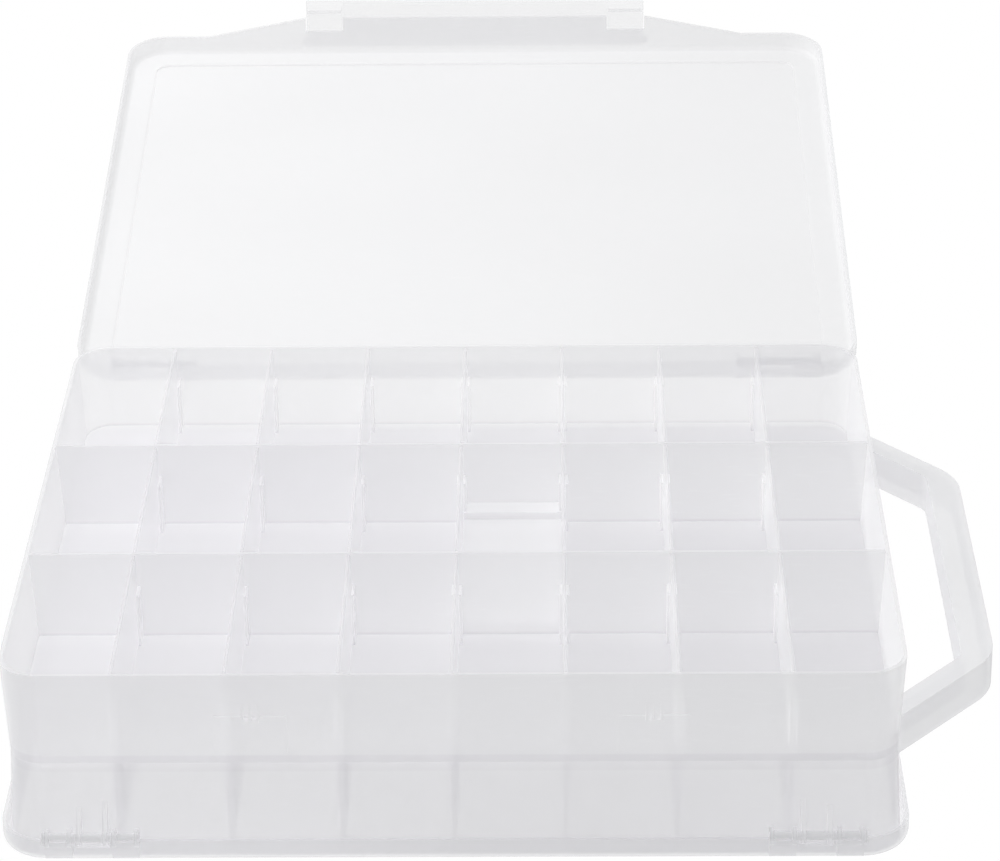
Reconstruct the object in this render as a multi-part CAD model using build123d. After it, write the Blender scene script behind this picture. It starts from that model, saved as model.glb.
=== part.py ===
from build123d import *
import math
import os

# Two-sided case for spools of embroidery thread, in millimetres.
# Two equal trays stand back to back. Each has three rows of cells, loose divider plates,
# a lid hinged along one long side and a wide latch flap on the lid's other long side.
# One tray, lid and latch are modelled as the upper half, in a frame whose Z = 0 is the seam
# between the trays. The lower half is the same mouldings turned 180 degrees about X.
# The finished model has Z = 0 on the surface that the case stands on, below the middle of the
# trays, with +X towards the carry handle and +Y towards the upper lid's hinge.

# Trays
body_width = 325.8  # across the rims, X
body_depth = 276.0  # across the rims, Y
corner_radius = 15.0  # of the rim, seen from above
tray_height = 37.4  # seam to rim
wall = 1.5
draft = 3.0  # degrees that the side walls lean outwards
floor_thickness = 1.5
seam_lip_height = 1.0  # the rim under each floor that meets the other tray
seam_lip_width = 2.6

# Cells
columns = 8
rows = 3
row_wall = 1.5
divider_thickness = 1.3
divider_side_play = 0.2
divider_end_play = 0.4
divider_top_gap = 0.3  # below the rim
divider_chamfer = 1.2
guide_thickness = 1.0
guide_length = 8.0  # how far a guide rib stands off its wall
guide_height = 21.4

# Raised bed in one cell of the middle row
bed_column = 5
bed_row = 2
bed_height = 6.0
bed_ledge_height = 9.0
bed_ledge_depth = 9.0

# Pegs that join the two floors
peg_boss_radius = 4.0
peg_radius = 2.0
peg_play = 0.05
peg_tip_gap = 0.1
peg_edge_distance = 45.0  # from the front and back of the seam
peg_columns = (-3, -1, 1, 3)  # lines between cells that have pegs, from the middle line

# Lids
lid_plate = 1.2
lid_overhang = 3.0  # past the rim, all round
lid_rim_gap = 0.2
skirt_depth = 9.2
skirt_thickness = 1.3
lid_edge_radius = 4.2
lid_inside_play = 0.1  # between the rounded inside of the lid and the rim's edge
panel_border = 12.5
panel_step = 0.8
panel_corner_radius = 7.0
deep_skirt_depth = 19.2  # beside the latch
deep_skirt_foot = 128.0  # half of the ramped part's length where it leaves the skirt
lid_open_angle = 171.0

# Hinges, two for each lid
hinge_drop = 11.3  # pin axis below the lid's border face
hinge_offset = 4.4  # pin axis outside the rim
hinge_inset = 31.9  # from the side of the rim to the middle of each hinge
hinge_pin_radius = 1.6
hinge_pin_play = 0.06
hinge_pin_seat_play = 0.02
hinge_pin_head_radius = 2.4
hinge_pin_head = 0.9
knuckle_width = 9.8
knuckle_gap = 14.6  # between the two knuckles of one hinge
knuckle_radius = 3.3
knuckle_ear = 1.6
knuckle_top_drop = 3.5  # below the lid's border face
knuckle_web_gap = 3.5  # from the pin's axis to the web between the ears
knuckle_web_depth = 2.6
knuckle_cover = 1.1  # plate outside the pin, from its axis to the lid
bracket_rib = 1.8
bracket_rib_spacing = 9.6
bracket_rib_radius = 2.6
bracket_rib_drop = 13.0  # below the pin axis, of the rib nearer the middle of the case
bracket_outer_drop = 10.2  # and of the rib nearer the side
bracket_notch_play = 0.6  # beside the ribs
bracket_notch_rise = 2.4  # above the ribs

# Latches
latch_width = 162.0
latch_length = 20.9  # pivot to finger edge
latch_plate = 1.4
latch_axis_drop = 4.2  # below the lid's border face
latch_axis_offset = 2.2  # outside the lid's skirt
latch_barrel_radius = 1.7
latch_stub_radius = 1.0
latch_stub_play = 0.06
latch_stub_length = 1.6
latch_ear = 1.8
latch_ear_radius = 2.0
latch_ear_play = 0.3
latch_rib = 1.2
latch_rib_gap = 0.3  # between the ribs and the lid's skirt
latch_lip_height = 1.6
latch_lip_depth = 1.2
hook_spacing = 144.6
hook_width = 16.2
hook_height = 4.1
hook_lip = 1.4
hook_catch_play = 0.15
hook_wall_play = 0.35
latch_window_play = 0.9
latch_window_top = 12.0  # below the lid's border face
latch_rest_angle = 9.0  # flap swung clear of its catches

# Catches on the tray's wall
catch_drop = 19.2  # underside of the catch below the rim
catch_depth = 1.8
catch_height = 1.9
catch_rib = 1.0
catch_rib_pitch = 2.7
catch_ribs = 3
catch_rib_height = 5.0
catch_pad_width = 26.0
catch_pad_height = 15.5
catch_pad_depth = 0.4
catch_pad_top = 17.2  # below the rim

# Carry handle
handle_reach = 40.0  # outer face of the grip beyond the seam
handle_height = 15.5
grip_width = 12.6
grip_length = 146.0  # straight outer face
arm_width = 9.4
handle_foot = 238.0  # across the outer edges of the two arms at the tray
handle_wall = 1.9
handle_outer_radius = 28.0
handle_inner_radius = 9.0
handle_fit = 0.1
tongue_length = 12.0
tongue_width = 13.0
tongue_play = 0.1
tongue_hole_play = 0.1
tongue_boss_radius = 2.6

# Places worked out from the sizes above, in the half's own frame
floor_bottom = seam_lip_height
floor_top = floor_bottom + floor_thickness
rim_z = tray_height
border_inside = rim_z + lid_rim_gap
border_top = border_inside + lid_plate
seam_height = border_top + panel_step  # height of the seam above the ground
lean = math.tan(math.radians(draft))
cell_pitch = (body_width - wall) / columns
row_pitch = (body_depth - wall) / rows
lid_width = body_width + 2 * lid_overhang
lid_depth = body_depth + 2 * lid_overhang
hinge_spacing = body_width - 2 * hinge_inset
hinge_y = body_depth / 2 + hinge_offset
hinge_z = border_top - hinge_drop
latch_y = -(lid_depth / 2 + latch_axis_offset)
latch_z = border_top - latch_axis_drop
catch_z = rim_z - catch_drop

# Every piece overlaps what it grows out of by this much, so that the two fuse
root = 0.5


def wall_x(z):
    """Outer face of a tray's side wall at a height above the seam."""
    return body_width / 2 - (rim_z - z) * lean


def wall_y(z):
    """Outer face of a tray's front or back wall at a height above the seam."""
    return body_depth / 2 - (rim_z - z) * lean


def block(x0, x1, y0, y1, z0, z1):
    """A box between two corners."""
    place = Location(((x0 + x1) / 2, (y0 + y1) / 2, (z0 + z1) / 2))
    return place * Box(abs(x1 - x0), abs(y1 - y0), abs(z1 - z0))


def rounded_block(width, depth, radius, z0, z1):
    """An upright block with rounded corners, centred on the Z axis."""
    outline = Plane.XY.offset(z0) * RectangleRounded(width, depth, radius)
    return extrude(outline, amount=z1 - z0, dir=(0, 0, 1))


def leaning_block(width, depth, radius, z_top, z_bottom):
    """A block with rounded corners that narrows by the draft towards its bottom."""
    outline = Plane.XY.offset(z_top) * RectangleRounded(width, depth, radius)
    return extrude(outline, amount=z_top - z_bottom, dir=(0, 0, -1), taper=draft)


def side_profile(points, x0, x1):
    """A prism between two X positions with the given outline of (y, z) points."""
    outline = make_face(Polyline(*[(x0, y, z) for y, z in points], close=True))
    return extrude(outline, amount=x1 - x0, dir=(1, 0, 0))


def rod(x0, x1, y, z, radius):
    """A round bar along X."""
    return extrude(Plane((x0, y, z), z_dir=(1, 0, 0)) * Circle(radius), amount=x1 - x0)


def divider_xs():
    """X of each divider plate in a row."""
    return [(n - columns / 2) * cell_pitch for n in range(1, columns)]


def row_wall_ys():
    """Y of each wall between two rows."""
    return [(n - rows / 2) * row_pitch for n in range(1, rows)]


# ---------------------------------------------------------------- tray


def guide_ribs():
    """Pairs of ribs on both sides of every row, which hold the ends of the divider plates."""
    offset = divider_thickness / 2 + divider_side_play
    top = floor_top + guide_height
    ribs = []
    outer = wall_y(floor_top) - wall - guide_length
    spans = [(-body_depth / 2, -outer), (outer, body_depth / 2)]
    for y in row_wall_ys():
        spans.append((y, y - row_wall / 2 - guide_length))
        spans.append((y, y + row_wall / 2 + guide_length))
    for x in divider_xs():
        for y0, y1 in spans:
            for side in (-1, 1):
                near = x + side * offset
                far = near + side * guide_thickness
                ribs.append(block(near, far, y0, y1, floor_top - root, top))
    return ribs


def bed_bounds():
    """X and Y limits of the raised bed's cell."""
    side = divider_thickness / 2 + divider_side_play
    x0 = (bed_column - 1 - columns / 2) * cell_pitch + side
    x1 = (bed_column - columns / 2) * cell_pitch - side
    y0 = (bed_row - 1 - rows / 2) * row_pitch
    y1 = (bed_row - rows / 2) * row_pitch
    return x0, x1, y0, y1


def bed():
    """The stepped bed: a low platform with a higher ledge along its back."""
    x0, x1, y0, y1 = bed_bounds()
    platform = block(x0, x1, y0, y1, floor_top - root, floor_top + bed_height)
    ledge_y = y1 - row_wall / 2 - bed_ledge_depth
    ledge = block(x0, x1, ledge_y, y1, floor_top - root, floor_top + bed_ledge_height)
    return [platform, ledge]


def bed_hollow():
    """The space under the bed, which leaves a skin as thick as the floor."""
    x0, x1, y0, y1 = bed_bounds()
    skin = floor_thickness
    front = y0 + row_wall / 2
    back = y1 - row_wall / 2
    step = back - bed_ledge_depth + skin
    low = block(x0 + skin, x1 - skin, front, step, 0, floor_top + bed_height - skin)
    high = block(x0 + skin, x1 - skin, step, back, 0, floor_top + bed_ledge_height - skin)
    return [low, high]


def peg_places():
    """X and Y of the pegs at the back of a tray. Its sockets lie as far to the front."""
    y = wall_y(0) - peg_edge_distance
    return [(n * cell_pitch, y) for n in peg_columns]


def tongue_y():
    """Y of the handle's tongue at the back, the middle of the arm where it meets the seam."""
    return handle_foot / 2 - tongue_width / 2


def tongue_boss_x():
    """X of the bosses that hold the handle's tongues."""
    return wall_x(0) - tongue_length / 2 - seam_lip_width / 2


def floor_pegs():
    """Bosses under the floor, with pegs on those at the back."""
    parts = []
    for x, y in peg_places():
        for side in (-1, 1):
            place = Location((x, side * y, 0))
            boss = extrude(Circle(peg_boss_radius), amount=floor_bottom + root)
            parts.append(place * boss)
        tip = seam_lip_height - peg_tip_gap
        peg = extrude(Circle(peg_radius), amount=-(tip + root))
        parts.append(Location((x, y, root)) * peg)
    for side in (-1, 1):
        place = Location((tongue_boss_x(), side * tongue_y(), 0))
        parts.append(place * extrude(Circle(tongue_boss_radius), amount=floor_bottom + root))
    return parts


def peg_sockets():
    """Holes in the front bosses for the other tray's pegs."""
    hole = extrude(Circle(peg_radius + peg_play), amount=floor_bottom)
    return [Location((x, -y, 0)) * hole for x, y in peg_places()]


def tongue_slots():
    """Gaps in the seam lip that let the handle's tongues in between the floors."""
    half = tongue_width / 2 + tongue_play
    slots = []
    for side in (-1, 1):
        y = side * tongue_y()
        inside = wall_x(0) - seam_lip_width - root
        slots.append(block(inside, body_width / 2, y - half, y + half, 0, floor_bottom))
    return slots


def hinge_xs():
    """X of the middle of each hinge."""
    return (-hinge_spacing / 2, hinge_spacing / 2)


def hinge_brackets():
    """Two ribs at each hinge that stand out from the back wall and carry the pin."""
    top = hinge_z + bracket_rib_radius
    slant = bracket_rib_radius * math.sqrt(0.5)
    ribs = []
    for middle in hinge_xs():
        for side in (-1, 1):
            bottom = hinge_z - (bracket_outer_drop if side * middle > 0 else bracket_rib_drop)
            outline = [
                (wall_y(bottom) - root, bottom),
                (hinge_y + slant, hinge_z - slant),
                (hinge_y, top),
                (wall_y(top) - root, top),
            ]
            x0 = middle + side * bracket_rib_spacing / 2 - bracket_rib / 2
            x1 = x0 + bracket_rib
            rib = side_profile(outline, x0, x1) + rod(x0, x1, hinge_y, hinge_z, bracket_rib_radius)
            seat = hinge_pin_radius + hinge_pin_seat_play
            ribs.append(rib - rod(x0 - root, x1 + root, hinge_y, hinge_z, seat))
    return ribs


def catches():
    """On the front wall, a thin pad at each hook with a ledge held by three small ribs."""
    parts = []
    ledge_top = catch_z + catch_height
    rib_top = ledge_top + catch_rib_height
    pad_top = rim_z - catch_pad_top
    pad_bottom = pad_top - catch_pad_height
    pad = [
        (-wall_y(pad_top) + root, pad_top),
        (-wall_y(pad_bottom) + root, pad_bottom),
        (-wall_y(pad_bottom) - catch_pad_depth, pad_bottom),
        (-wall_y(pad_top) - catch_pad_depth, pad_top),
    ]
    face = wall_y(catch_z)
    ledge = [
        (-face + root, catch_z),
        (-face - catch_depth, catch_z),
        (-face - catch_depth, ledge_top - catch_height / 2),
        (-face + root, ledge_top),
    ]
    rib = [
        (-face + root, catch_z),
        (-face - catch_depth, catch_z),
        (-face - catch_depth, ledge_top),
        (-wall_y(rib_top), rib_top),
        (-wall_y(rib_top) + root, rib_top),
    ]
    reach = (catch_ribs - 1) * catch_rib_pitch / 2
    for middle in (-hook_spacing / 2, hook_spacing / 2):
        parts.append(side_profile(pad, middle - catch_pad_width / 2, middle + catch_pad_width / 2))
        x0 = middle - reach - catch_rib / 2
        parts.append(side_profile(ledge, x0, x0 + 2 * reach + catch_rib))
        for n in range(catch_ribs):
            left = x0 + n * catch_rib_pitch
            parts.append(side_profile(rib, left, left + catch_rib))
    return parts


def make_tray():
    """One tray moulding, open upwards, with its hinges at the back and its catches in front."""
    envelope = leaning_block(body_width, body_depth, corner_radius, rim_z, 0)
    inside = (body_width - 2 * wall, body_depth - 2 * wall, corner_radius - wall)
    cavity = leaning_block(*inside, rim_z, floor_top)
    lip = (2 * (wall_x(0) - seam_lip_width), 2 * (wall_y(0) - seam_lip_width))
    recess = rounded_block(*lip, corner_radius / 2, 0, floor_bottom)
    half_width = body_width / 2
    row_walls = [
        block(-half_width, half_width, y - row_wall / 2, y + row_wall / 2, floor_top - root, rim_z)
        for y in row_wall_ys()
    ]
    fittings = (Part() + row_walls + guide_ribs() + bed()) & envelope
    tray = envelope - cavity - recess + fittings
    tray = tray + floor_pegs() + hinge_brackets() + catches()
    return tray - bed_hollow() - peg_sockets() - tongue_slots()


def make_divider(row):
    """A loose divider plate for a row, counted from the front, standing at X = 0."""
    low = floor_top
    high = rim_z - divider_top_gap
    walls = row_wall_ys()
    inset = row_wall / 2 + divider_end_play
    outer = wall + divider_end_play
    front_low = front_high = walls[row - 2] + inset if row > 1 else 0
    back_low = back_high = walls[row - 1] - inset if row < rows else 0
    if row == 1:
        front_low = -wall_y(low) + outer
        front_high = -wall_y(high) + outer
    if row == rows:
        back_low = wall_y(low) - outer
        back_high = wall_y(high) - outer
    c = divider_chamfer
    outline = [
        (front_low + c, low),
        (back_low - c, low),
        (back_low + c * lean, low + c),
        (back_high, high),
        (front_high, high),
        (front_low - c * lean, low + c),
    ]
    if row > 1:
        outline[5] = (front_low, low + c)
    if row < rows:
        outline[2] = (back_low, low + c)
    return side_profile(outline, -divider_thickness / 2, divider_thickness / 2)


# ---------------------------------------------------------------- lid


def lid_inside_radius():
    """The largest rounding inside the lid's edge that still clears the corner of the rim."""
    beside = lid_overhang - skirt_thickness
    sum_of_gaps = beside + lid_rim_gap - lid_inside_play
    squares = beside**2 + lid_rim_gap**2 - lid_inside_play**2
    return min(sum_of_gaps + math.sqrt(sum_of_gaps**2 - squares), lid_edge_radius - skirt_thickness)


def lid_shell():
    """The lid's plate and skirt with a panel that stands proud inside a flat border."""
    bottom = border_top - skirt_depth
    radius = corner_radius + lid_overhang
    shell = rounded_block(lid_width, lid_depth, radius, bottom, border_top)
    rounded = shell.edges().group_by(Axis.Z)[-1]
    shell = fillet(rounded, lid_edge_radius)
    t = skirt_thickness
    hollow = rounded_block(lid_width - 2 * t, lid_depth - 2 * t, radius - t, bottom, border_inside)
    rounded = hollow.edges().group_by(Axis.Z)[-1]
    hollow = fillet(rounded, lid_inside_radius())
    panel_size = (lid_width - 2 * panel_border, lid_depth - 2 * panel_border)
    panel = rounded_block(*panel_size, panel_corner_radius, border_inside + root, border_top + panel_step)
    edge = panel.edges().group_by(Axis.Z)[-1]
    panel = chamfer(edge, panel_step / 2)
    under = (panel_size[0] - 2 * lid_plate, panel_size[1] - 2 * lid_plate)
    pocket_top = border_inside + panel_step
    pocket = rounded_block(*under, panel_corner_radius - lid_plate, border_inside - root, pocket_top)
    return shell + panel - hollow - pocket


def deep_skirt():
    """The ramped part of the front skirt that hides the latch's back."""
    outside = -lid_depth / 2
    inside = outside + skirt_thickness
    top = border_top - skirt_depth + root
    ramp_start = border_top - skirt_depth
    bottom = border_top - deep_skirt_depth
    end = latch_width / 2
    outline = [
        (-deep_skirt_foot, ramp_start),
        (-end, bottom),
        (end, bottom),
        (deep_skirt_foot, ramp_start),
        (deep_skirt_foot, top),
        (-deep_skirt_foot, top),
    ]
    wire = Polyline(*[(x, outside, z) for x, z in outline], close=True)
    apron = extrude(make_face(wire), amount=inside - outside, dir=(0, 1, 0))
    half = hook_width / 2 + latch_window_play
    for middle in (-hook_spacing / 2, hook_spacing / 2):
        window_top = border_top - latch_window_top
        apron -= block(middle - half, middle + half, outside - root, inside + root, bottom - root, window_top)
    return apron


def lid_knuckles():
    """Two knuckles at each hinge: two ears round the pin, with a web and a cover between them."""
    skirt_face = lid_depth / 2
    top = border_top - knuckle_top_drop
    buried = skirt_face - skirt_thickness / 2
    ear = [
        (hinge_y - knuckle_radius, hinge_z),
        (hinge_y + knuckle_radius, hinge_z),
        (skirt_face + root, top),
        (buried, top),
        (buried, border_top - skirt_depth + root),
    ]
    slope = (hinge_y + knuckle_radius - skirt_face - root) / (top - hinge_z)
    run = knuckle_cover * math.hypot(1, slope)
    cover = [
        (hinge_y + knuckle_radius, hinge_z),
        (skirt_face + root, top),
        (skirt_face + root - run, top),
        (hinge_y + knuckle_radius - run, hinge_z),
    ]
    parts = []
    hole = hinge_pin_radius + hinge_pin_play
    for middle in hinge_xs():
        for side in (-1, 1):
            near = middle + side * knuckle_gap / 2
            far = near + side * knuckle_width
            x0, x1 = sorted((near, far))
            web_z = hinge_z + knuckle_web_gap
            knuckle = block(x0, x1, buried, skirt_face + knuckle_web_depth, web_z, top)
            knuckle += side_profile(cover, x0, x1)
            for left in (x0, x1 - knuckle_ear):
                right = left + knuckle_ear
                knuckle += side_profile(ear, left, right)
                knuckle += rod(left, right, hinge_y, hinge_z, knuckle_radius)
            parts.append(knuckle - rod(x0 - root, x1 + root, hinge_y, hinge_z, hole))
    return parts


def bracket_notches():
    """Cuts in the back skirt that clear the tray's bracket ribs."""
    half = bracket_rib_spacing / 2 + bracket_rib / 2 + bracket_notch_play
    bottom = border_top - skirt_depth - root
    top = hinge_z + bracket_rib_radius + bracket_notch_rise
    inside = lid_depth / 2 - skirt_thickness - root
    return [block(x - half, x + half, inside, lid_depth / 2 + root, bottom, top) for x in hinge_xs()]


def latch_ears():
    """Ears at both ends of the latch that hold its stub pins."""
    parts = []
    reach = latch_ear_radius
    for side in (-1, 1):
        near = side * (latch_width / 2 + latch_ear_play)
        x0, x1 = sorted((near, near + side * latch_ear))
        ear = block(x0, x1, latch_y, -lid_depth / 2 + root, latch_z - reach, latch_z + reach)
        ear += rod(x0, x1, latch_y, latch_z, reach)
        hole = latch_stub_radius + latch_stub_play
        parts.append(ear - rod(x0 - root, x1 + root, latch_y, latch_z, hole))
    return parts


def make_lid():
    """One lid moulding in its closed place, hinged at the back."""
    lid = lid_shell() + deep_skirt() - bracket_notches()
    return lid + lid_knuckles() + latch_ears()


# ---------------------------------------------------------------- latch


def hook(middle):
    """A hook that reaches under a catch, sloped on its lower side so that it rides over."""
    top = catch_z - hook_catch_play
    flap_face = latch_y + latch_plate / 2
    tip = -wall_y(top) - catch_pad_depth - hook_wall_play
    outline = [
        (flap_face - root, top),
        (tip, top),
        (tip, top - hook_lip),
        (flap_face, top - hook_height),
        (flap_face - root, top - hook_height),
    ]
    return side_profile(outline, middle - hook_width / 2, middle + hook_width / 2)


def make_latch():
    """The wide flap that hangs from the lid's front edge, in its latched place."""
    half = latch_width / 2
    back = latch_y - latch_plate / 2
    face = latch_y + latch_plate / 2
    tip = latch_z - latch_length
    flap = block(-half, half, back, face, tip, latch_z)
    flap += rod(-half, half, latch_y, latch_z, latch_barrel_radius)
    flap += block(-half, half, back - latch_lip_depth, face, tip, tip + latch_lip_height)
    rib_face = -lid_depth / 2 - latch_rib_gap
    rib_top = latch_z - latch_barrel_radius
    window_side = hook_spacing / 2 - hook_width / 2 - latch_rib
    for x0 in (-half, -window_side - latch_rib, window_side, half - latch_rib):
        flap += block(x0, x0 + latch_rib, face - root, rib_face, tip, rib_top)
    for middle in (-hook_spacing / 2, hook_spacing / 2):
        flap += hook(middle)
    reach = half + latch_ear_play + latch_stub_length
    return flap + rod(-reach, reach, latch_y, latch_z, latch_stub_radius)


# ---------------------------------------------------------------- handle and pins


def handle_outline(inset_grip, inset_arm, extra, radius):
    """The handle's plan, drawn in from its outer edge by a width at the grip and at the arms."""
    outer_x = wall_x(0) + handle_reach - inset_grip
    foot_x = wall_x(0) - extra
    slope = (handle_foot / 2 - grip_length / 2) / handle_reach
    stretch = math.hypot(1, slope)
    corner_y = grip_length / 2 - inset_arm * stretch + inset_grip * slope
    foot_y = corner_y + (outer_x - foot_x) * slope
    wire = FilletPolyline(
        (foot_x, -foot_y), (outer_x, -corner_y), (outer_x, corner_y), (foot_x, foot_y), radius=radius
    )
    return make_face(wire + Line((foot_x, foot_y), (foot_x, -foot_y)))


def saddle():
    """The space that the two leaning side walls take up, with a small clearance."""
    half_height = handle_height / 2 + root
    near = wall_x(0) + handle_fit
    far = near + half_height * lean
    outline = [(0, -half_height), (far, -half_height), (near, 0), (far, half_height), (0, half_height)]
    wire = Polyline(*[(x, -body_depth / 2, z) for x, z in outline], close=True)
    return extrude(make_face(wire), amount=body_depth, dir=(0, 1, 0))


def make_handle():
    """The carry handle, hollow from below, with two tongues that lie between the floors."""
    half = handle_height / 2
    outer = handle_outline(0, 0, root, handle_outer_radius)
    inner = handle_outline(grip_width, arm_width, 2 * root, handle_inner_radius)
    ring = extrude(Plane.XY.offset(-half) * (outer - inner), amount=handle_height)
    outer_core = handle_outline(handle_wall, handle_wall, 0, handle_outer_radius - handle_wall)
    inner_core = handle_outline(
        grip_width - handle_wall, arm_width - handle_wall, root, handle_inner_radius + handle_wall
    )
    core_depth = handle_height - handle_wall
    core = extrude(Plane.XY.offset(-half - root) * (outer_core - inner_core), amount=core_depth + root)
    end_wall = wall_x(0) + handle_fit + half * lean + handle_wall
    core &= block(end_wall, body_width, -body_depth, body_depth, -handle_height, handle_height)
    handle = ring - core - saddle()
    thickness = 2 * (seam_lip_height - tongue_play)
    for side in (-1, 1):
        y = side * tongue_y()
        x0 = wall_x(0) - tongue_length
        x1 = wall_x(0) + handle_fit + root
        y0, y1 = y - tongue_width / 2, y + tongue_width / 2
        tongue = block(x0, x1, y0, y1, -thickness / 2, thickness / 2)
        hole = extrude(Circle(tongue_boss_radius + tongue_hole_play), amount=thickness, both=True)
        handle += tongue - Location((tongue_boss_x(), y, 0)) * hole
    return handle


def make_pin(side):
    """A hinge pin with its head at the end nearer the side of the case."""
    middle = side * hinge_spacing / 2
    half = knuckle_gap / 2 + knuckle_width
    x0, x1 = middle - half, middle + half
    head_x = middle + side * (half + hinge_pin_play * 2)
    pin = rod(min(x0, head_x), max(x1, head_x), hinge_y, hinge_z, hinge_pin_radius)
    h0, h1 = sorted((head_x, head_x + side * hinge_pin_head))
    return pin + rod(h0, h1, hinge_y, hinge_z, hinge_pin_head_radius)


# ---------------------------------------------------------------- assembly


hinge_axis = Axis((0, hinge_y, hinge_z), (1, 0, 0))
latch_axis = Axis((0, latch_y, latch_z), (1, 0, 0))
row_names = ("front", "middle", "back")


def upper(shape):
    """Stands a piece of the upper half on the seam."""
    return Location((0, 0, seam_height)) * shape


def lower(shape):
    """Turns a piece over about X and hangs it under the seam."""
    return Location((0, 0, seam_height), (180, 0, 0)) * shape


def save(name, shape):
    """Writes one named piece, as a single solid."""
    solids = shape.solids()
    assert len(solids) == 1, name
    solids[0].label = name
    export_step(solids[0], os.path.join("parts", name + ".step"))


os.makedirs("parts", exist_ok=True)

tray = make_tray()
lid = make_lid()
released_latch = make_latch().rotate(latch_axis, -latch_rest_angle)

save("upper_tray", upper(tray))
save("lower_tray", lower(tray))
save("carry_handle", upper(make_handle()))

save("upper_lid", upper(lid.rotate(hinge_axis, -lid_open_angle)))
save("upper_latch", upper(released_latch.rotate(hinge_axis, -lid_open_angle)))
save("lower_lid", lower(lid))
save("lower_latch", lower(released_latch))

for side, side_name in ((-1, "left"), (1, "right")):
    pin = make_pin(side)
    save(f"upper_hinge_pin_{side_name}", upper(pin))
    save(f"lower_hinge_pin_{side_name}", lower(pin))

for row in range(1, rows + 1):
    plate = make_divider(row)
    # turned over, the first row of the lower half comes to the back
    lower_name = row_names[rows - row]
    for n, x in enumerate(divider_xs(), start=1):
        placed = Location((x, 0, 0)) * plate
        save(f"upper_divider_{row_names[row - 1]}_{n}", upper(placed))
        save(f"lower_divider_{lower_name}_{n}", lower(placed))
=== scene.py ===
"""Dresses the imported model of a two-sided thread case in cloudy, see-through moulded plastic.

The CAD solids carry the shape. Each gets its moulded edges rounded and a plastic of its own
clearness, and stands on a white floor in soft light. All lengths are in metres.
"""

import math

import bmesh
import bpy
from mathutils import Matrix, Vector

bl_info = {
    "name": "Two-sided Thread Case",
    "version": (1, 0, 0),
    "blender": (4, 5, 0),
    "location": "View3D > Sidebar > Thread Case",
    "description": "Finishes a see-through thread case and sets its studio and camera",
    "category": "Object",
}

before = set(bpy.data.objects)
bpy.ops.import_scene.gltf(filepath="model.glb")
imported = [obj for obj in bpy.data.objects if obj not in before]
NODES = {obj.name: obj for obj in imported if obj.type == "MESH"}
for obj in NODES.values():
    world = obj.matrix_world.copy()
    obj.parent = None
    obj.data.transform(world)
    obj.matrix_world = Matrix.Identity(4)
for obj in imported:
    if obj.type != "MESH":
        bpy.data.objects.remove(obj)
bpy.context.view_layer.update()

# Settings ---------------------------------------------------------------------------------------


class CaseFinish(bpy.types.PropertyGroup):
    """Colours and clearness of the plastic; the colours of the two halves and of the floor between
    them hold painted light and shade
    """

    # Painted light: the upper half's colour is lighter, standing in for the light that fills its
    # open cells.
    upper_lit_colour: bpy.props.FloatVectorProperty(
        name="Upper Half Lit Colour",
        description="Colour of the plastic of the upper tray and its dividers",
        subtype="COLOR",
        size=3,
        min=0.0,
        max=1.0,
        default=(0.972, 0.967, 0.982),
    )
    # Painted shade: the lower half's colour is darker, standing in for the shade inside the closed
    # lower tray.
    lower_shaded_colour: bpy.props.FloatVectorProperty(
        name="Lower Half Shaded Colour",
        description="Colour of the plastic of the lower tray and its dividers",
        subtype="COLOR",
        size=3,
        min=0.0,
        max=1.0,
        default=(0.928, 0.924, 0.936),
    )
    # Painted shade: the double floor between the trays is darker, so that the floors, which face
    # the lamps, look no brighter than the walls.
    floor_shade_colour: bpy.props.FloatVectorProperty(
        name="Floor Shade Colour",
        description="Colour of the double floor between the trays",
        subtype="COLOR",
        size=3,
        min=0.0,
        max=1.0,
        default=(0.892, 0.887, 0.901),
    )
    lid_colour: bpy.props.FloatVectorProperty(
        name="Lid Colour",
        description="Colour of the plastic of lids and latch flaps",
        subtype="COLOR",
        size=3,
        min=0.0,
        max=1.0,
        default=(0.9, 0.898, 0.91),
    )
    handle_colour: bpy.props.FloatVectorProperty(
        name="Handle Colour",
        description="Colour of the plastic of the handle",
        subtype="COLOR",
        size=3,
        min=0.0,
        max=1.0,
        default=(0.938, 0.937, 0.944),
    )
    pin_colour: bpy.props.FloatVectorProperty(
        name="Pin Colour",
        description="Colour of the plastic of the hinge pins",
        subtype="COLOR",
        size=3,
        min=0.0,
        max=1.0,
        default=(0.88, 0.879, 0.889),
    )
    tray_cloudiness: bpy.props.FloatProperty(
        name="Tray Cloudiness",
        description="How much one surface of a tray hides what is behind it",
        min=0.0,
        max=1.0,
        default=0.36,
    )
    lid_cloudiness: bpy.props.FloatProperty(
        name="Lid Cloudiness",
        description="How much one surface of a lid hides what is behind it",
        min=0.0,
        max=1.0,
        default=0.295,
    )
    latch_cloudiness: bpy.props.FloatProperty(
        name="Latch Cloudiness",
        description="How much one surface of a latch flap hides what is behind it",
        min=0.0,
        max=1.0,
        default=0.2,
    )
    divider_cloudiness: bpy.props.FloatProperty(
        name="Divider Cloudiness",
        description="How much one surface of a divider hides what is behind it",
        min=0.0,
        max=1.0,
        default=0.24,
    )
    handle_cloudiness: bpy.props.FloatProperty(
        name="Handle Cloudiness",
        description="How much one surface of the handle hides what is behind it",
        min=0.0,
        max=1.0,
        default=0.5,
    )
    pin_cloudiness: bpy.props.FloatProperty(
        name="Pin Cloudiness",
        description="How much one surface of a hinge pin hides what is behind it",
        min=0.0,
        max=1.0,
        default=0.7,
    )
    roughness: bpy.props.FloatProperty(
        name="Roughness",
        description="Roughness of the moulded surface",
        min=0.0,
        max=1.0,
        default=0.3,
    )


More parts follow.
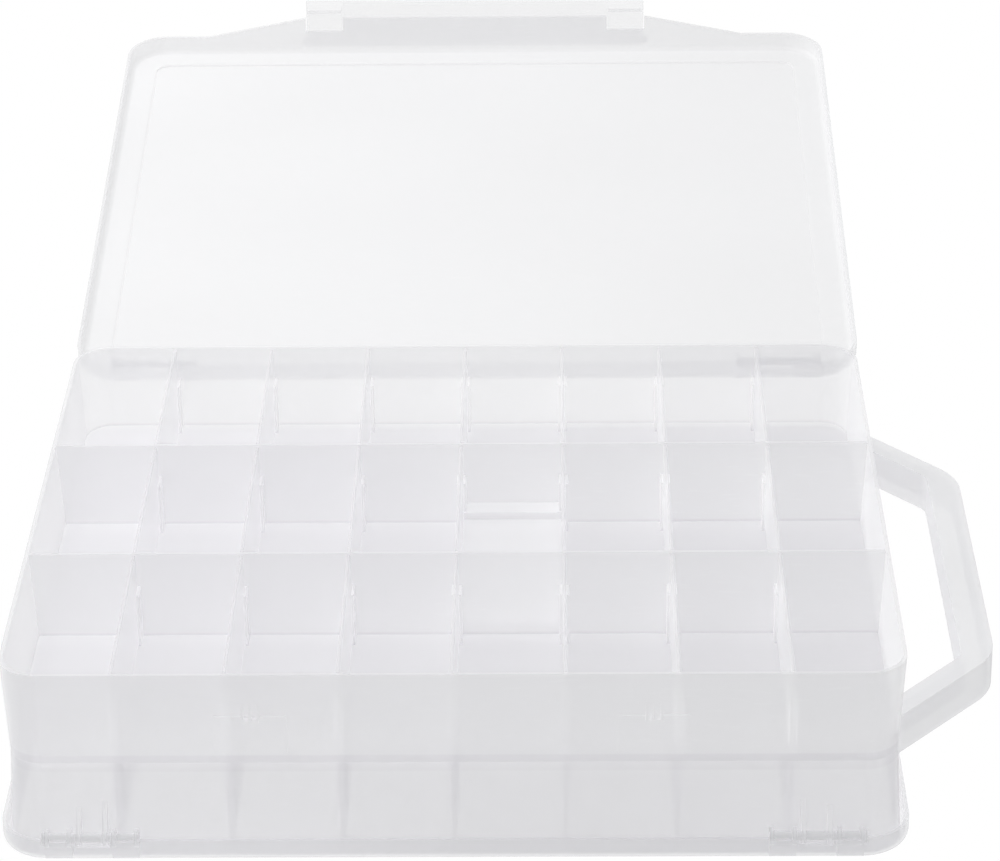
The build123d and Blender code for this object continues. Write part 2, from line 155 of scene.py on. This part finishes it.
class CaseEdges(bpy.types.PropertyGroup):
    """Rounding of the moulded edges"""

    shell_edge: bpy.props.FloatProperty(
        name="Shell Edge",
        description="Rounding on the edges of trays, lids and latch flaps",
        unit="LENGTH",
        min=0.0,
        max=0.001,
        default=0.00018,
    )
    plate_edge: bpy.props.FloatProperty(
        name="Divider Edge",
        description="Rounding on the edges of the divider plates",
        unit="LENGTH",
        min=0.0,
        max=0.0006,
        default=0.0003,
    )
    handle_edge: bpy.props.FloatProperty(
        name="Handle Edge",
        description="Rounding on the edges of the handle",
        unit="LENGTH",
        min=0.0,
        max=0.002,
        default=0.0007,
    )


class CaseStudio(bpy.types.PropertyGroup):
    """Lights, floor and camera"""

    room_light: bpy.props.FloatProperty(
        name="Room Light",
        description="Strength of the even light from all round",
        min=0.0,
        max=3.0,
        default=0.66,
    )
    key_power: bpy.props.FloatProperty(
        name="Key Light",
        description="Power of the large soft light above on the left",
        unit="POWER",
        min=0.0,
        max=200.0,
        default=6.5,
    )
    fill_power: bpy.props.FloatProperty(
        name="Fill Light",
        description="Power of the large soft light low in front",
        unit="POWER",
        min=0.0,
        max=200.0,
        default=0.8,
    )
    lamp_size: bpy.props.FloatProperty(
        name="Lamp Size",
        description="Side of each of the two large soft lights",
        unit="LENGTH",
        min=0.1,
        max=4.0,
        default=1.1,
    )
    floor_white: bpy.props.FloatProperty(
        name="Floor Whiteness",
        description="Share of plain white in the floor as the camera sees it",
        min=0.0,
        max=1.0,
        default=1.0,
    )
    floor_size: bpy.props.FloatProperty(
        name="Floor Size",
        description="Side of the square floor",
        unit="LENGTH",
        min=1.0,
        max=40.0,
        default=16.0,
    )
    lens: bpy.props.FloatProperty(
        name="Focal Length",
        description="Focal length of the camera on a 36 mm sensor",
        subtype="DISTANCE_CAMERA",
        min=20.0,
        max=400.0,
        default=138.68,
    )
    camera_place: bpy.props.FloatVectorProperty(
        name="Camera Place",
        description="Where the camera stands",
        subtype="XYZ",
        unit="LENGTH",
        size=3,
        default=(0.03624, -1.32478, 0.76019),
    )
    camera_turn: bpy.props.FloatVectorProperty(
        name="Camera Turn",
        description="Rotation of the camera",
        subtype="EULER",
        unit="ROTATION",
        size=3,
        default=(math.radians(63.7756), math.radians(0.6399), math.radians(0.6766)),
    )
    camera_shift: bpy.props.FloatVectorProperty(
        name="Camera Shift",
        description="Shift of the lens, as a share of the picture's width",
        size=2,
        default=(0.00765, -0.005),
    )


SETTINGS = {"case_finish": CaseFinish, "case_edges": CaseEdges, "case_studio": CaseStudio}

# Shader node groups -----------------------------------------------------------------------------

# Each pattern's cells to a metre, how it is drawn out along X, Y and Z, and its turn about Z.
CLOUD_SCALE = 9.0
CLOUD_DRAW = (0.7, 1.5, 1.0)
CLOUD_TURN = 0.35
PEEL_SCALE = 240.0
HAIR_SCALE = 2400.0
HAIR_DRAW = (0.05, 1.0, 0.4)
HAIR_TURN = 0.6

CLOUD_RANGE = (0.15, 0.85)  # values of the noise between clear and cloudy
HAIR_RANGE = (0.66, 0.8)  # values of the noise between plain and scuffed
SCUFFED_CLOUDS = (0.45, 0.85)  # clouding between no scuffs and all of them
BAND_EDGE = (0.85, 1.15)  # shares of a band's reach over which it fades out


def new_group(name, inputs, outputs):
    """An empty shader node group with named number or vector sockets."""
    group = bpy.data.node_groups.new(name, "ShaderNodeTree")
    for label, kind, default in inputs:
        socket = group.interface.new_socket(label, in_out="INPUT", socket_type=kind)
        if default is not None:
            socket.default_value = default
    for label in outputs:
        group.interface.new_socket(label, in_out="OUTPUT", socket_type="NodeSocketFloat")
    return group, group.nodes.new("NodeGroupInput"), group.nodes.new("NodeGroupOutput")


def noise(tree, vector, scale):
    """Noise of a single layer."""
    node = tree.nodes.new("ShaderNodeTexNoise")
    node.inputs["Scale"].default_value = scale
    node.inputs["Detail"].default_value = 0.0
    tree.links.new(vector, node.inputs["Vector"])
    return node.outputs["Fac"]


def stretch(tree, value, low, high, to_low=0.0, to_high=1.0, kind="LINEAR"):
    """Maps part of a value's range to another range."""
    node = tree.nodes.new("ShaderNodeMapRange")
    node.interpolation_type = kind
    node.inputs["From Min"].default_value = low
    node.inputs["From Max"].default_value = high
    node.inputs["To Min"].default_value = to_low
    node.inputs["To Max"].default_value = to_high
    tree.links.new(value, node.inputs["Value"])
    return node.outputs["Result"]


def maths(tree, operation, *values):
    """A Math node over sockets or numbers."""
    node = tree.nodes.new("ShaderNodeMath")
    node.operation = operation
    for slot, value in enumerate(values):
        if isinstance(value, bpy.types.NodeSocket):
            tree.links.new(value, node.inputs[slot])
        else:
            node.inputs[slot].default_value = value
    return node.outputs["Value"]


def squeezed(tree, vector, factors, turn):
    """A vector scaled per axis and turned about Z, to draw a pattern out in one direction."""
    node = tree.nodes.new("ShaderNodeMapping")
    node.inputs["Scale"].default_value = factors
    node.inputs["Rotation"].default_value = (0.0, 0.0, turn)
    tree.links.new(vector, node.inputs["Vector"])
    return node.outputs["Vector"]


def flow_clouding_group():
    """Soft, wide clouding, drawn out in the direction in which the melt flowed."""
    group, given, out = new_group(
        "Flow Clouding",
        [("Vector", "NodeSocketVector", None), ("Contrast", "NodeSocketFloat", 1.0)],
        ["Cloud"],
    )
    drawn = squeezed(group, given.outputs["Vector"], CLOUD_DRAW, CLOUD_TURN)
    wide = stretch(group, noise(group, drawn, CLOUD_SCALE), *CLOUD_RANGE, kind="SMOOTHSTEP")
    middle = 0.5
    even = maths(group, "SUBTRACT", wide, middle)
    cloud = maths(group, "MULTIPLY_ADD", even, given.outputs["Contrast"], middle)
    group.links.new(cloud, out.inputs["Cloud"])
    return group


def moulded_skin_group():
    """The faint orange-peel relief that a polished mould leaves."""
    group, given, out = new_group(
        "Moulded Skin",
        [("Vector", "NodeSocketVector", None), ("Waviness", "NodeSocketFloat", 1.0)],
        ["Height"],
    )
    peel = noise(group, given.outputs["Vector"], PEEL_SCALE)
    height = maths(group, "MULTIPLY", peel, given.outputs["Waviness"])
    group.links.new(height, out.inputs["Height"])
    return group


def handling_marks_group():
    """Hairline scuffs, which gather where the clouding is dense."""
    group, given, out = new_group(
        "Handling Marks",
        [
            ("Vector", "NodeSocketVector", None),
            ("Where", "NodeSocketFloat", 0.5),
            ("Amount", "NodeSocketFloat", 1.0),
        ],
        ["Scuff"],
    )
    drawn = squeezed(group, given.outputs["Vector"], HAIR_DRAW, HAIR_TURN)
    line = stretch(group, noise(group, drawn, HAIR_SCALE), *HAIR_RANGE)
    where = stretch(group, given.outputs["Where"], *SCUFFED_CLOUDS)
    scuff = maths(group, "MULTIPLY", line, where)
    scuff = maths(group, "MULTIPLY", scuff, given.outputs["Amount"])
    group.links.new(scuff, out.inputs["Scuff"])
    return group


def level_band_group():
    """Where a surface lies at one height, such as the double floor between the trays, which gets
    painted shade.
    """
    group, given, out = new_group(
        "Level Band",
        [
            ("Vector", "NodeSocketVector", None),
            ("Height", "NodeSocketFloat", 0.0),
            ("Reach", "NodeSocketFloat", 0.001),
        ],
        ["Band"],
    )
    parts = group.nodes.new("ShaderNodeSeparateXYZ")
    group.links.new(given.outputs["Vector"], parts.inputs["Vector"])
    above = maths(group, "SUBTRACT", parts.outputs["Z"], given.outputs["Height"])
    share = maths(group, "DIVIDE", maths(group, "ABSOLUTE", above), given.outputs["Reach"])
    band = stretch(group, share, *BAND_EDGE, 1.0, 0.0, kind="SMOOTHSTEP")
    group.links.new(band, out.inputs["Band"])
    return group


GROUP_MAKERS = {
    "Flow Clouding": flow_clouding_group,
    "Moulded Skin": moulded_skin_group,
    "Handling Marks": handling_marks_group,
    "Level Band": level_band_group,
}


def use_group(tree, name, vector, **values):
    """Places a shared node group in a material, reading Object coordinates."""
    group = bpy.data.node_groups.get(name) or GROUP_MAKERS[name]()
    node = tree.nodes.new("ShaderNodeGroup")
    node.node_tree = group
    tree.links.new(vector, node.inputs["Vector"])
    for label, value in values.items():
        node.inputs[label].default_value = value
    return node


# Materials --------------------------------------------------------------------------------------

# Share of lamp light that one surface lets through. The plastic scatters light but hardly stops it.
LIGHT_LET_THROUGH = (0.99, 0.99, 0.99)
SEAM_HEIGHT = 0.0396  # where the two trays meet
FLOOR_SHADE_REACH = 0.0034  # how far the painted floor shade reaches from there, past the inner faces of both floors

# How much more a surface of each kind of piece hides when it is looked along.
RIM = {"tray": 0.4, "lid": 0.22, "latch": 0.25, "divider": 0.16, "handle": 0.35, "pin": 0.35}
RIM_BLEND = 0.35
RIM_POWER = 2.2

PLASTIC_IOR = 1.49
CLOUD_CONTRAST = 0.7
CLOUD_TONE = 0.035  # share of the colour
CLOUD_HIDING = 0.07  # share of the cloudiness
CLEAR_ROUGHNESS = -0.01  # added where the clouding is least
CLOUDED_ROUGHNESS = 0.05  # added where it is densest
SCUFF_AMOUNT = 0.25
SCUFF_ROUGHNESS = 0.22
SCUFF_HIDING = 0.03
SKIN_STRENGTH = 0.12
SKIN_DEPTH = 0.0002
HANDLE_ROUGHER = 1.2  # than the rest

WELD_REACH = 1e-6
SHARP_ANGLE = math.radians(32.0)  # from this angle on, an edge is rounded


def tone_mix(tree, factor, first, second):
    """A colour between two colours, of which the first may be a socket."""
    node = tree.nodes.new("ShaderNodeMix")
    node.data_type = "RGBA"
    if isinstance(first, bpy.types.NodeSocket):
        tree.links.new(first, node.inputs["A"])
    else:
        node.inputs["A"].default_value = (*first, 1.0)
    node.inputs["B"].default_value = (*second, 1.0)
    tree.links.new(factor, node.inputs["Factor"])
    return node.outputs["Result"]


def cloudy_plastic(name, colour, cloudiness, roughness, rim, floor=None):
    """See-through plastic, which hides more where it is looked along than straight through."""
    material = bpy.data.materials.new(name)
    material.use_nodes = True
    tree = material.node_tree
    shader = tree.nodes["Principled BSDF"]
    shader.inputs["IOR"].default_value = PLASTIC_IOR
    shader.inputs["Coat Weight"].default_value = 0.0
    place = tree.nodes.new("ShaderNodeTexCoord").outputs["Object"]

    cloud = use_group(tree, "Flow Clouding", place, Contrast=CLOUD_CONTRAST).outputs["Cloud"]
    darker = [c * (1.0 - CLOUD_TONE) for c in colour]
    lighter = [min(1.0, c * (1.0 + CLOUD_TONE)) for c in colour]
    tone = tone_mix(tree, cloud, darker, lighter)
    # Painted shade: the double floor between the trays takes the darker floor colour.
    if floor:
        floor_shade_band = use_group(tree, "Level Band", place, Height=SEAM_HEIGHT, Reach=FLOOR_SHADE_REACH)
        tone = tone_mix(tree, floor_shade_band.outputs["Band"], tone, floor)
    tree.links.new(tone, shader.inputs["Base Color"])

    marked = use_group(tree, "Handling Marks", place, Amount=SCUFF_AMOUNT)
    tree.links.new(cloud, marked.inputs["Where"])
    scuff = marked.outputs["Scuff"]
    least, most = roughness + CLEAR_ROUGHNESS, roughness + CLOUDED_ROUGHNESS
    rough = stretch(tree, cloud, 0.0, 1.0, least, most)
    rough = maths(tree, "MULTIPLY_ADD", scuff, SCUFF_ROUGHNESS, rough)
    tree.links.new(rough, shader.inputs["Roughness"])

    facing = tree.nodes.new("ShaderNodeLayerWeight")
    facing.inputs["Blend"].default_value = RIM_BLEND
    along = maths(tree, "POWER", facing.outputs["Facing"], RIM_POWER)
    least, most = cloudiness * (1.0 - CLOUD_HIDING), cloudiness * (1.0 + CLOUD_HIDING)
    hide = stretch(tree, cloud, 0.0, 1.0, least, most)
    hide = maths(tree, "MULTIPLY_ADD", along, rim, hide)
    hide = maths(tree, "MULTIPLY_ADD", scuff, SCUFF_HIDING, hide)
    tree.links.new(hide, shader.inputs["Alpha"])

    skin = use_group(tree, "Moulded Skin", place)
    bump = tree.nodes.new("ShaderNodeBump")
    bump.inputs["Strength"].default_value = SKIN_STRENGTH
    bump.inputs["Distance"].default_value = SKIN_DEPTH
    tree.links.new(skin.outputs["Height"], bump.inputs["Height"])
    tree.links.new(bump.outputs["Normal"], shader.inputs["Normal"])

    path = tree.nodes.new("ShaderNodeLightPath")
    passed = tree.nodes.new("ShaderNodeBsdfTransparent")
    passed.inputs["Color"].default_value = (*LIGHT_LET_THROUGH, 1.0)
    mix = tree.nodes.new("ShaderNodeMixShader")
    tree.links.new(path.outputs["Is Shadow Ray"], mix.inputs["Fac"])
    tree.links.new(shader.outputs["BSDF"], mix.inputs[1])
    tree.links.new(passed.outputs["BSDF"], mix.inputs[2])
    tree.links.new(mix.outputs["Shader"], tree.nodes["Material Output"].inputs["Surface"])
    return material


def put_on(obj, material):
    """Gives every material slot of a node or piece the same finish."""
    if not obj.material_slots:
        obj.data.materials.append(material)
    for slot in obj.material_slots:
        slot.material = material


def nodes_named(*starts):
    """CAD nodes whose names begin with one of these words, in order of name."""
    return [NODES[n] for n in sorted(NODES) if n.startswith(starts)]


def round_edges(obj, width, segments=2):
    """Rounds the moulded edges of a node, and shades the rounding into its flat faces."""
    weld = obj.modifiers.new("Weld", "WELD")
    weld.merge_threshold = WELD_REACH
    edge = obj.modifiers.new("Moulded Edges", "BEVEL")
    edge.width = width
    edge.segments = segments
    edge.profile = 0.5
    edge.limit_method = "ANGLE"
    edge.angle_limit = SHARP_ANGLE
    edge.use_clamp_overlap = True
    shade = obj.modifiers.new("Edge Shading", "WEIGHTED_NORMAL")
    shade.keep_sharp = False


# Operators --------------------------------------------------------------------------------------


class CASE_OT_trays(bpy.types.Operator):
    """Finish the two trays"""

    bl_idname = "case.trays"
    bl_label = "Trays"

    def execute(self, context):
        finish = context.scene.case_finish
        # Painted light and shade: the upper tray is given the lighter colour and the lower tray the
        # darker one.
        for half, colour in (("upper", finish.upper_lit_colour), ("lower", finish.lower_shaded_colour)):
            material = cloudy_plastic(
                f"{half.title()} Tray Plastic With Painted Shading",
                colour,
                finish.tray_cloudiness,
                finish.roughness,
                RIM["tray"],
                finish.floor_shade_colour,
            )
            put_on(NODES[f"{half}_tray"], material)
            round_edges(NODES[f"{half}_tray"], context.scene.case_edges.shell_edge)
        return {"FINISHED"}


class CASE_OT_lids(bpy.types.Operator):
    """Finish the two lids"""

    bl_idname = "case.lids"
    bl_label = "Lids"

    def execute(self, context):
        finish = context.scene.case_finish
        material = cloudy_plastic(
            "Lid Plastic", finish.lid_colour, finish.lid_cloudiness, finish.roughness, RIM["lid"]
        )
        for node in nodes_named("upper_lid", "lower_lid"):
            put_on(node, material)
            round_edges(node, context.scene.case_edges.shell_edge)
        return {"FINISHED"}


class CASE_OT_latches(bpy.types.Operator):
    """Finish the two latch flaps"""

    bl_idname = "case.latches"
    bl_label = "Latch Flaps"

    def execute(self, context):
        finish = context.scene.case_finish
        material = cloudy_plastic(
            "Latch Plastic",
            finish.lid_colour,
            finish.latch_cloudiness,
            finish.roughness,
            RIM["latch"],
        )
        for node in nodes_named("upper_latch", "lower_latch"):
            put_on(node, material)
            round_edges(node, context.scene.case_edges.shell_edge)
        return {"FINISHED"}


class CASE_OT_dividers(bpy.types.Operator):
    """Finish the divider plates"""

    bl_idname = "case.dividers"
    bl_label = "Divider Plates"

    def execute(self, context):
        finish = context.scene.case_finish
        # Painted light and shade: the upper dividers are given the lighter colour and the lower
        # dividers the darker one.
        for half, colour in (("upper", finish.upper_lit_colour), ("lower", finish.lower_shaded_colour)):
            material = cloudy_plastic(
                f"{half.title()} Divider Plastic With Painted Shading",
                colour,
                finish.divider_cloudiness,
                finish.roughness,
                RIM["divider"],
            )
            for node in nodes_named(f"{half}_divider"):
                put_on(node, material)
                round_edges(node, context.scene.case_edges.plate_edge)
        return {"FINISHED"}


class CASE_OT_handle(bpy.types.Operator):
    """Finish the carry handle"""

    bl_idname = "case.handle"
    bl_label = "Carry Handle"

    def execute(self, context):
        finish = context.scene.case_finish
        material = cloudy_plastic(
            "Handle Plastic",
            finish.handle_colour,
            finish.handle_cloudiness,
            finish.roughness * HANDLE_ROUGHER,
            RIM["handle"],
        )
        put_on(NODES["carry_handle"], material)
        round_edges(NODES["carry_handle"], context.scene.case_edges.handle_edge, segments=3)
        return {"FINISHED"}


class CASE_OT_hinge_pins(bpy.types.Operator):
    """Finish the hinge pins"""

    bl_idname = "case.hinge_pins"
    bl_label = "Hinge Pins"

    def execute(self, context):
        finish = context.scene.case_finish
        material = cloudy_plastic(
            "Pin Plastic", finish.pin_colour, finish.pin_cloudiness, finish.roughness, RIM["pin"]
        )
        for node in nodes_named("upper_hinge_pin", "lower_hinge_pin"):
            put_on(node, material)
        return {"FINISHED"}


WHITE = (1.0, 1.0, 1.0, 1.0)
ROOM_COLOUR = (0.985, 0.99, 1.0, 1.0)
FLOOR_PAINT = (0.8, 0.8, 0.8, 1.0)
FLOOR_ROUGHNESS = 0.9
FLOOR_DROP = 0.0004  # keeps the floor clear of the underside
KEY_PLACE = (-0.78, 0.5, 0.72)
FILL_PLACE = (-0.3, -1.7, 0.5)
LIT_POINT = (0.0, 0.1, 0.05)  # where both lamps point


def light_path_mix(tree, plain, seen, share):
    """Mixes in what the camera sees, also through clear plastic and in reflections."""
    path = tree.nodes.new("ShaderNodeLightPath")
    rays = path.outputs["Is Camera Ray"], path.outputs["Is Transmission Ray"]
    either = maths(tree, "MAXIMUM", *rays)
    mix = tree.nodes.new("ShaderNodeMixShader")
    tree.links.new(maths(tree, "MULTIPLY", either, share), mix.inputs["Fac"])
    tree.links.new(plain, mix.inputs[1])
    tree.links.new(seen, mix.inputs[2])
    return mix.outputs["Shader"]


def soft_light(name, place, power, size):
    """A square lamp aimed at the open case, which the camera doesn't see."""
    lamp = bpy.data.lights.new(name, "AREA")
    lamp.energy = power
    lamp.size = size
    light = bpy.data.objects.new(name, lamp)
    light.location = place
    aim = Vector(LIT_POINT) - light.location
    light.rotation_euler = aim.to_track_quat("-Z", "Y").to_euler()
    light.visible_camera = False
    bpy.context.scene.collection.objects.link(light)


class CASE_OT_studio(bpy.types.Operator):
    """Set the floor and the soft lights"""

    bl_idname = "case.studio"
    bl_label = "Studio"

    def execute(self, context):
        studio = context.scene.case_studio
        mesh = bmesh.new()
        bmesh.ops.create_grid(mesh, x_segments=1, y_segments=1, size=studio.floor_size / 2)
        bmesh.ops.translate(mesh, verts=mesh.verts, vec=(0.0, 0.0, -FLOOR_DROP))
        data = bpy.data.meshes.new("studio_floor")
        mesh.to_mesh(data)
        mesh.free()
        floor = bpy.data.objects.new("studio_floor", data)
        context.scene.collection.objects.link(floor)

        paint = bpy.data.materials.new("Studio Floor")
        paint.use_nodes = True
        tree = paint.node_tree
        shader = tree.nodes["Principled BSDF"]
        shader.inputs["Base Color"].default_value = FLOOR_PAINT
        shader.inputs["Roughness"].default_value = FLOOR_ROUGHNESS
        glow = tree.nodes.new("ShaderNodeEmission").outputs["Emission"]
        mixed = light_path_mix(tree, shader.outputs["BSDF"], glow, studio.floor_white)
        tree.links.new(mixed, tree.nodes["Material Output"].inputs["Surface"])
        data.materials.append(paint)

        world = bpy.data.worlds.new("Studio Room")
        context.scene.world = world
        world.use_nodes = True
        tree = world.node_tree
        room = tree.nodes["Background"]
        room.inputs["Color"].default_value = ROOM_COLOUR
        room.inputs["Strength"].default_value = studio.room_light
        white = tree.nodes.new("ShaderNodeBackground")
        white.inputs["Color"].default_value = WHITE
        mixed = light_path_mix(tree, room.outputs["Background"], white.outputs["Background"], 1.0)
        tree.links.new(mixed, tree.nodes["World Output"].inputs["Surface"])

        soft_light("key_light", KEY_PLACE, studio.key_power, studio.lamp_size)
        soft_light("fill_light", FILL_PLACE, studio.fill_power, studio.lamp_size)
        return {"FINISHED"}


SENSOR_WIDTH = 36.0
CLIPPING = (0.05, 50.0)  # nearest and farthest that the camera sees
# Bounces of light: enough to see through every wall and to fill the cells with scattered light.
CLEAR_BOUNCES = 64
ALL_BOUNCES = 14
DIFFUSE_BOUNCES = 12


class CASE_OT_camera(bpy.types.Operator):
    """Set the camera"""

    bl_idname = "case.camera"
    bl_label = "Camera"

    def execute(self, context):
        studio = context.scene.case_studio
        lens = bpy.data.cameras.new("case_camera")
        lens.sensor_width = SENSOR_WIDTH
        lens.lens = studio.lens
        lens.shift_x, lens.shift_y = studio.camera_shift
        lens.clip_start, lens.clip_end = CLIPPING
        camera = bpy.data.objects.new("case_camera", lens)
        camera.location = studio.camera_place
        camera.rotation_euler = studio.camera_turn
        context.scene.collection.objects.link(camera)
        context.scene.camera = camera
        context.scene.view_settings.view_transform = "Standard"
        context.scene.cycles.transparent_max_bounces = CLEAR_BOUNCES
        context.scene.cycles.max_bounces = ALL_BOUNCES
        context.scene.cycles.diffuse_bounces = DIFFUSE_BOUNCES
        return {"FINISHED"}


STEPS = (
    CASE_OT_trays,
    CASE_OT_lids,
    CASE_OT_latches,
    CASE_OT_dividers,
    CASE_OT_handle,
    CASE_OT_hinge_pins,
    CASE_OT_studio,
    CASE_OT_camera,
)


class CASE_PT_panel(bpy.types.Panel):
    """Buttons and settings of the thread case"""

    bl_label = "Thread Case"
    bl_idname = "CASE_PT_panel"
    bl_space_type = "VIEW_3D"
    bl_region_type = "UI"
    bl_category = "Thread Case"

    def draw(self, context):
        for step in STEPS:
            self.layout.operator(step.bl_idname)
        for name in SETTINGS:
            group = getattr(context.scene, name)
            box = self.layout.box()
            for key in group.__annotations__:
                box.prop(group, key)


def register():
    """Adds the settings, the operators and the panel to Blender."""
    for name, group in SETTINGS.items():
        bpy.utils.register_class(group)
        setattr(bpy.types.Scene, name, bpy.props.PointerProperty(type=group))
    for cls in (*STEPS, CASE_PT_panel):
        bpy.utils.register_class(cls)


def unregister():
    """Takes them out again."""
    for cls in (CASE_PT_panel, *reversed(STEPS)):
        bpy.utils.unregister_class(cls)
    for name, group in reversed(SETTINGS.items()):
        delattr(bpy.types.Scene, name)
        bpy.utils.unregister_class(group)


def main():
    """Dresses the case, and sets the studio and the camera."""
    register()
    for step in STEPS:
        group, action = step.bl_idname.split(".")
        getattr(getattr(bpy.ops, group), action)()


if __name__ == "__main__":
    main()
